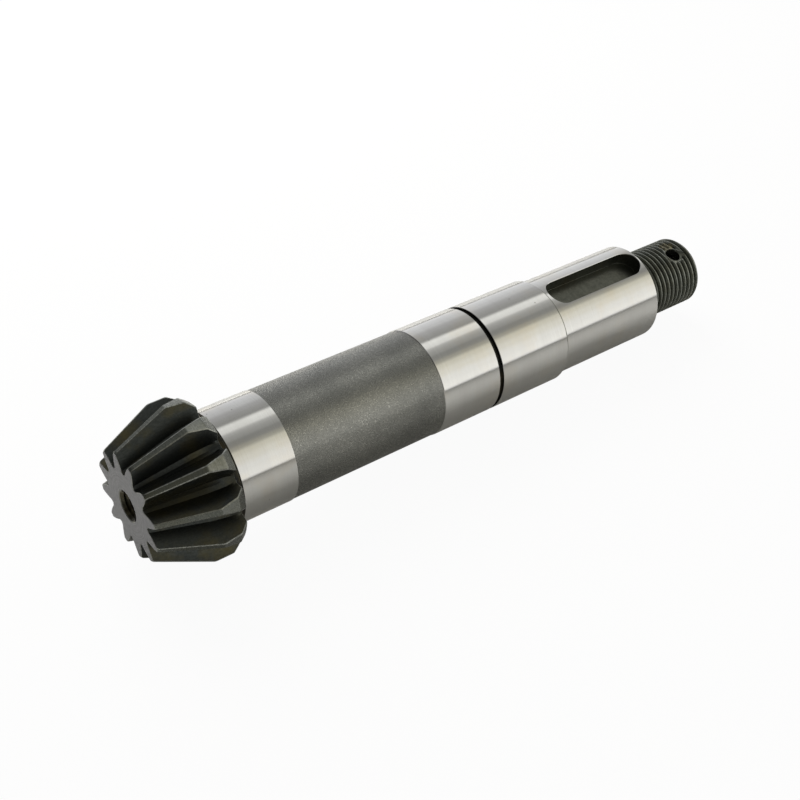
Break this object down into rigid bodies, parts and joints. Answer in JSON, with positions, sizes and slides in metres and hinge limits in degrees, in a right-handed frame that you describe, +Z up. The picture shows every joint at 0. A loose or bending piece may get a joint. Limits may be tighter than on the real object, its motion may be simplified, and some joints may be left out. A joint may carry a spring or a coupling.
{
  "type": "pinion shaft",
  "caption": "Solid steel shaft with a straight bevel pinion at one end, ground bearing seats, a ring groove, a round-ended keyway and a threaded end with a split pin hole.",
  "frame": {"origin": "centre of the bounding box's underside, on the surface that the shaft lies on", "axes": "X runs along the shaft from the pinion to the threaded end, which lies 2.52 degrees lower; Z is up; the keyway leans from up towards -Y"},
  "size_m": [0.22, 0.0476, 0.0477],
  "materials": {
    "shaft_steel": "ground bearing seats, dark heat-treated pinion, thread and keyway"
  },
  "bodies": {
    "root": {"pinion_shaft": "shaft_steel"}
  },
  "joints": []
}
